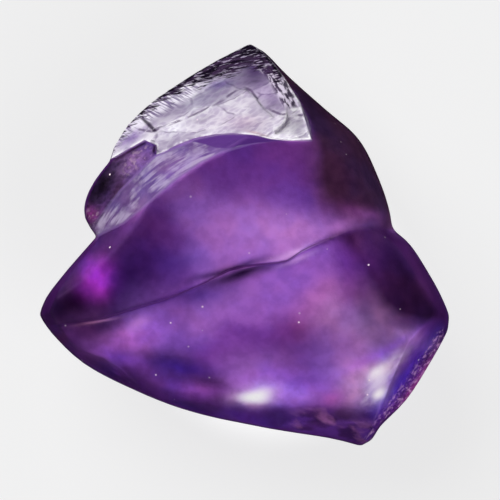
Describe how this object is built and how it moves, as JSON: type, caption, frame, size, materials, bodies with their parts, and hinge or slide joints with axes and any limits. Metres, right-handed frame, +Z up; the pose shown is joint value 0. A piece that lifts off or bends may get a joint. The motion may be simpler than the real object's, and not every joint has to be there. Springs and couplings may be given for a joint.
{
  "type": "rough alexandrite crystal",
  "caption": "Rough violet alexandrite fragment with stepped conchoidal faces, a pale fracture window and a flat resting face.",
  "frame": {"origin": "middle of the stone's box in X and Y, on the flat back face that it rests on", "axes": "+Z up, out of the broad broken front; +Y from the long lower edge to the pointed crown; +X to the right as the front is seen"},
  "size_m": [0.016, 0.0156, 0.0072],
  "materials": {
    "violet_crystal": "clear violet chrysoberyl, waxy frosted broken faces with a paler, sharper fracture window"
  },
  "bodies": {
    "root": {"alexandrite": "violet_crystal"}
  },
  "joints": []
}
